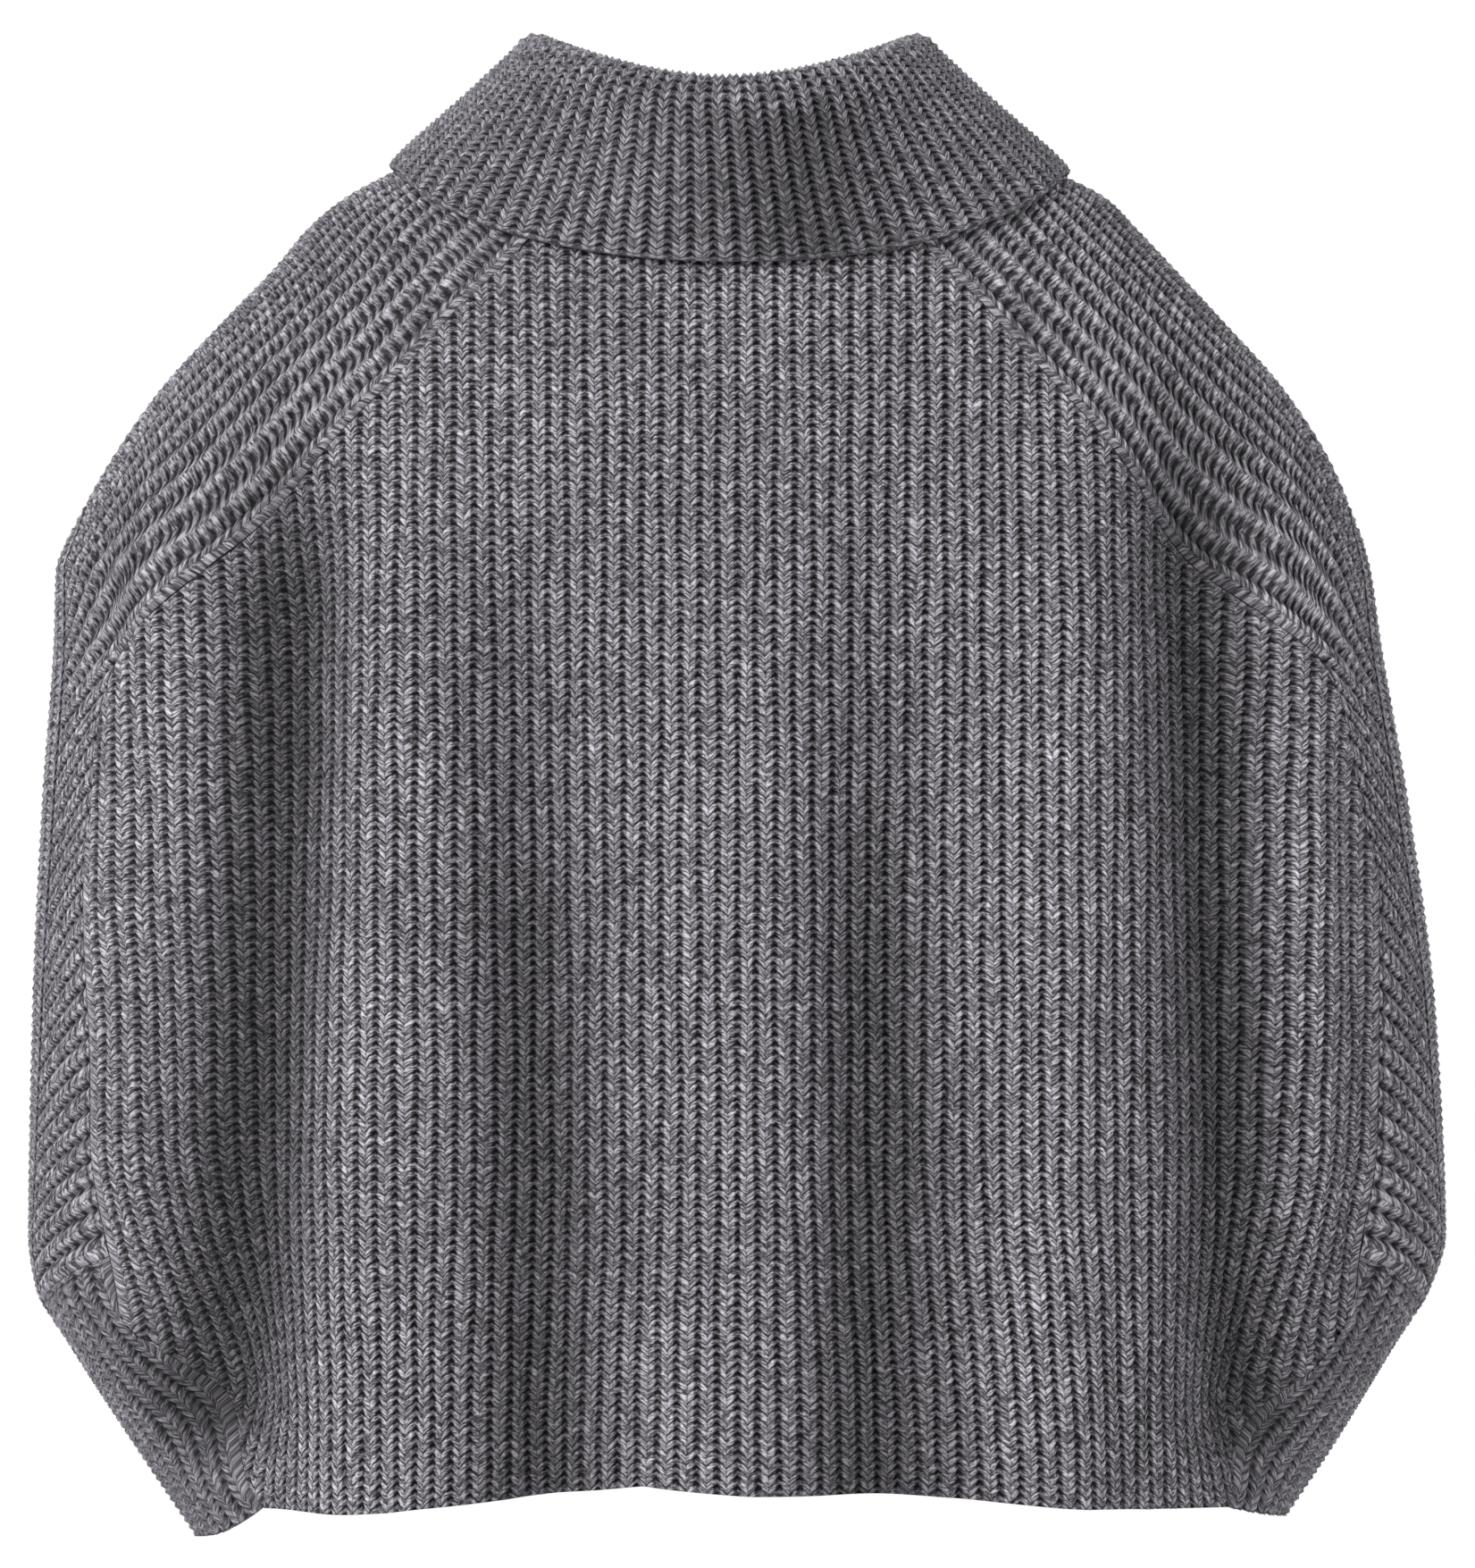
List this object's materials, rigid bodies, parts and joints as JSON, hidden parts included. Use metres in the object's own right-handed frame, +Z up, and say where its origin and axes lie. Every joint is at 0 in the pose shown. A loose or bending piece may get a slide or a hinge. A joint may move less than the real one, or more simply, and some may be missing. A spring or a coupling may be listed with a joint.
{
  "type": "knitted poncho sweater",
  "caption": "Grey heather half-cardigan knit poncho sweater with a wide turned-down collar, raglan shoulder panels and banded side arm openings, hollow as worn.",
  "frame": {"origin": "middle of the neck, at the height where the shoulders meet the collar", "axes": "+Z up, +Y out of the wearer's front, +X to the wearer's right"},
  "size_m": [0.713, 0.3256, 0.7562],
  "materials": {
    "panel_knit": "matte heather wool knit in half-cardigan rib",
    "sleeve_knit": "matte heather wool knit, the open side of the half-cardigan rib",
    "band_knit": "matte heather wool knit, narrow plain band",
    "gusset_knit": "matte heather wool knit in stocking stitch",
    "collar_knit": "matte heather wool knit in deep rib"
  },
  "bodies": {
    "root": {"back_panel": "panel_knit", "front_panel": "panel_knit", "sleeve_left": "sleeve_knit", "sleeve_right": "sleeve_knit", "armhole_band_left": "band_knit", "armhole_band_right": "band_knit", "gusset_left": "gusset_knit", "gusset_right": "gusset_knit", "collar": "collar_knit"}
  },
  "joints": []
}
